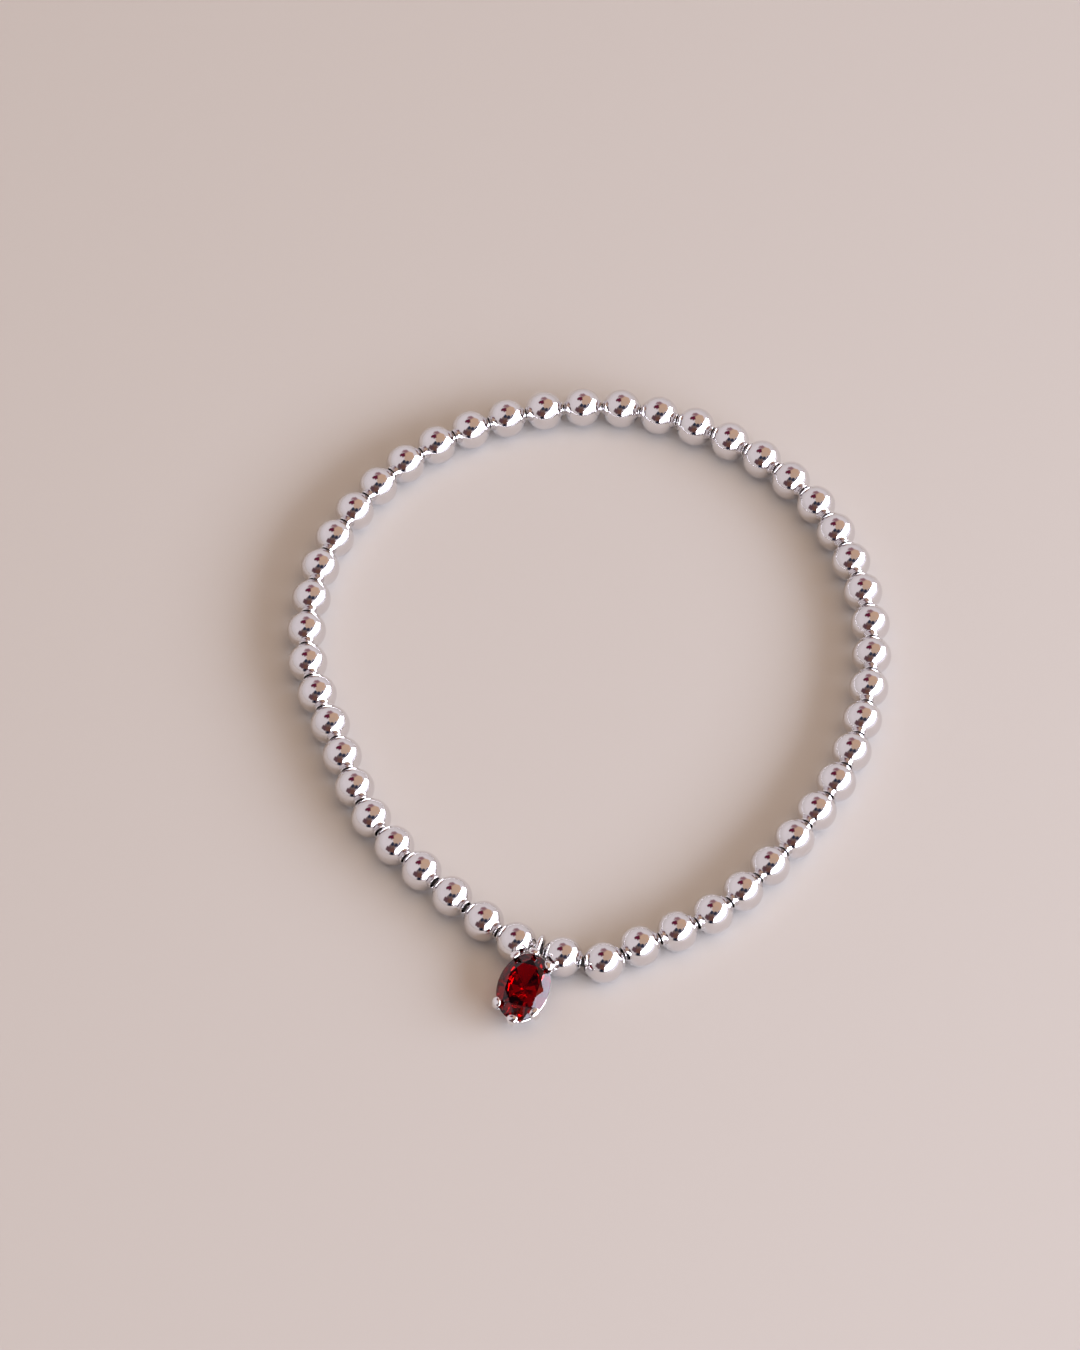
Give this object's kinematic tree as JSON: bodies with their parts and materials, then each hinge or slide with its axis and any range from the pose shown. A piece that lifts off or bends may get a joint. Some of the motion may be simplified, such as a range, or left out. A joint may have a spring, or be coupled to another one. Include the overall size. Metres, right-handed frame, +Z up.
{
  "type": "stretch bracelet",
  "caption": "Stretch bracelet of small round mirror-polished beads on an elastic cord, with an oval red stone charm in a claw setting that hangs from a bail.",
  "frame": {"origin": "Centre of the bracelet's outline seen from above, on the plane that it lies on.", "axes": "+Z up, out of the plane that it lies on. The charm is at the front, towards -Y, and the far side of the loop is towards +Y."},
  "size_m": [0.0612, 0.0784, 0.0045],
  "materials": {
    "polished_steel": "mirror-polished stainless steel",
    "setting_steel": "polished cast setting",
    "elastic": "black elastic thread, satin",
    "red_stone": "transparent garnet-red faceted stone"
  },
  "bodies": {
    "root": {"bead_01": "polished_steel", "bead_02": "polished_steel", "bead_03": "polished_steel", "bead_04": "polished_steel", "bead_05": "polished_steel", "bead_06": "polished_steel", "bead_07": "polished_steel", "bead_08": "polished_steel", "bead_09": "polished_steel", "bead_10": "polished_steel", "bead_11": "polished_steel", "bead_12": "polished_steel", "bead_13": "polished_steel", "bead_14": "polished_steel", "bead_15": "polished_steel", "bead_16": "polished_steel", "bead_17": "polished_steel", "bead_18": "polished_steel", "bead_19": "polished_steel", "bead_20": "polished_steel", "bead_21": "polished_steel", "bead_22": "polished_steel", "bead_23": "polished_steel", "bead_24": "polished_steel", "bead_25": "polished_steel", "bead_26": "polished_steel", "bead_27": "polished_steel", "bead_28": "polished_steel", "bead_29": "polished_steel", "bead_30": "polished_steel", "bead_31": "polished_steel", "bead_32": "polished_steel", "bead_33": "polished_steel", "bead_34": "polished_steel", "bead_35": "polished_steel", "bead_36": "polished_steel", "bead_37": "polished_steel", "bead_38": "polished_steel", "bead_39": "polished_steel", "bead_40": "polished_steel", "bead_41": "polished_steel", "bead_42": "polished_steel", "bead_43": "polished_steel", "bead_44": "polished_steel", "bead_45": "polished_steel", "bead_46": "polished_steel", "bead_47": "polished_steel", "bead_48": "polished_steel", "elastic_cord": "elastic", "charm_setting": "setting_steel", "charm_stone": "red_stone"}
  },
  "joints": []
}
